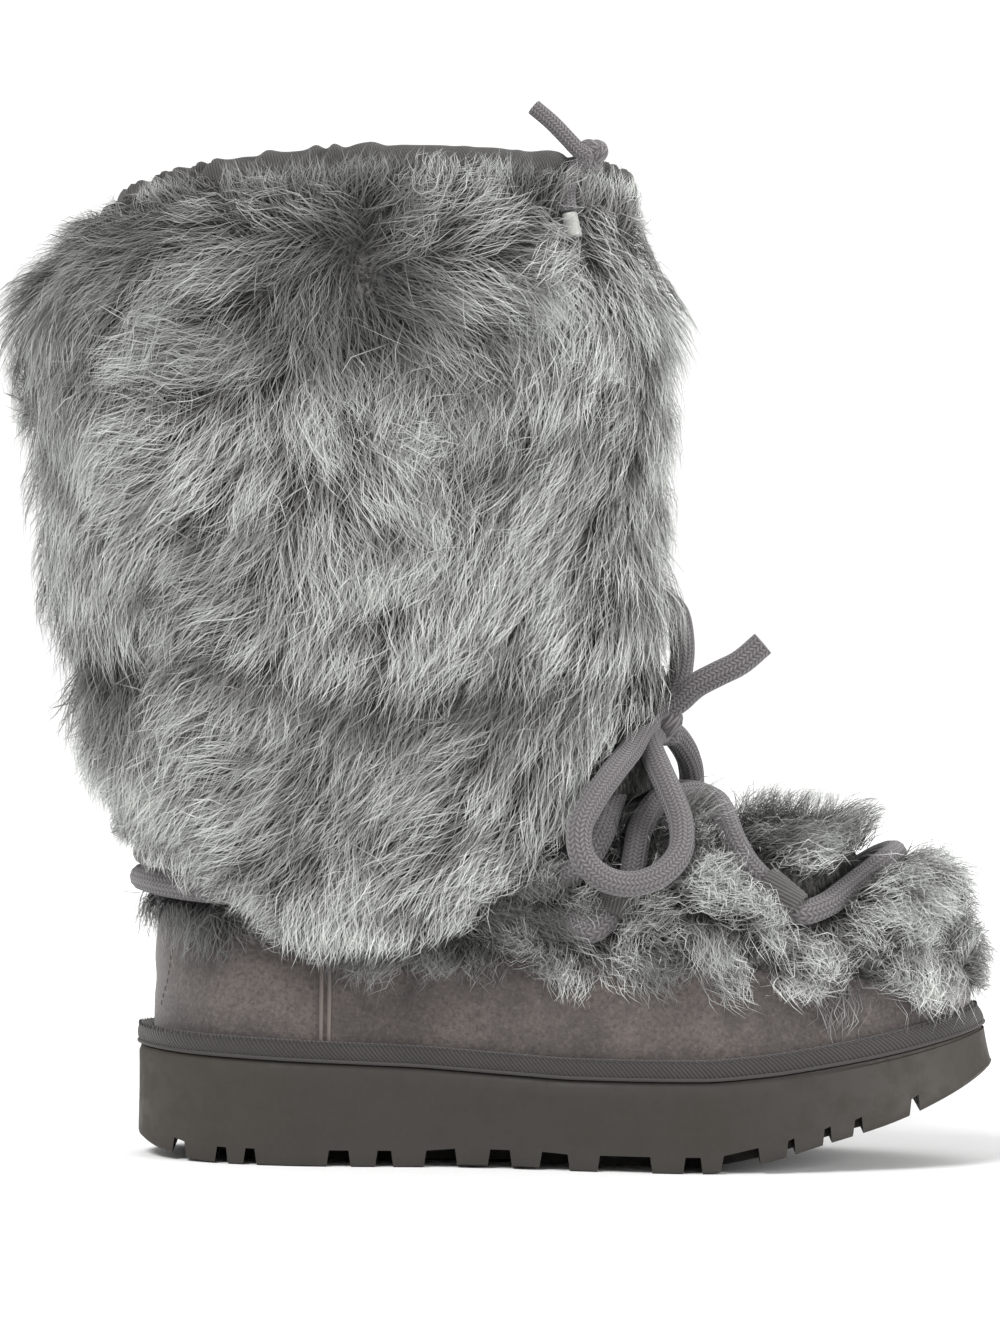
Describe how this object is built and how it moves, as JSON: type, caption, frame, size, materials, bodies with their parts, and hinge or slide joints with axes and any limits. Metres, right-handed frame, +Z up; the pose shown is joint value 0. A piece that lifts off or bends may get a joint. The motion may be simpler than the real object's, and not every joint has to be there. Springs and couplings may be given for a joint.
{
  "type": "sheepskin winter boot",
  "caption": "Right-foot winter boot: suede foot on a thick lugged sole, long grey fur on vamp and wide shaft, round braided lace tied in a bow, drawcord collar.",
  "frame": {"origin": "on the floor under the solid heel block, 52 mm forward of the back of the sole, on the sole's centre line", "axes": "+X from heel to toe, +Y to the medial (big toe) side, +Z up along the shaft"},
  "size_m": [0.3289, 0.1584, 0.3506],
  "materials": {
    "sole": "matt dark olive-brown foam rubber",
    "tape": "grey diagonal twill over a round cord",
    "suede": "brushed grey-brown suede",
    "fur": "long tufted grey sheepskin, dark at the roots",
    "lining": "short grey wool",
    "twill": "dark grey ribbed webbing",
    "lace": "braided grey-mauve round cord",
    "tip": "light grey moulded tip"
  },
  "bodies": {
    "root": {"outsole": "sole", "welt_tape": "tape", "insole": "lining", "upper": "suede", "foot_fur": "fur", "shaft": "fur", "collar_casing": "twill", "lacing": "lace", "lace_sleeve_front_lateral": "twill", "lace_sleeve_front_medial": "twill", "lace_sleeve_rear_lateral": "twill", "lace_sleeve_rear_medial": "twill", "lace_knot": "lace", "lace_bow_lateral": "lace", "lace_bow_medial": "lace", "lace_end_lateral": "lace", "lace_end_medial": "lace", "drawcord_knot": "lace", "drawcord_end_upper": "lace", "drawcord_end_lower": "lace", "drawcord_tip": "tip"}
  },
  "joints": []
}
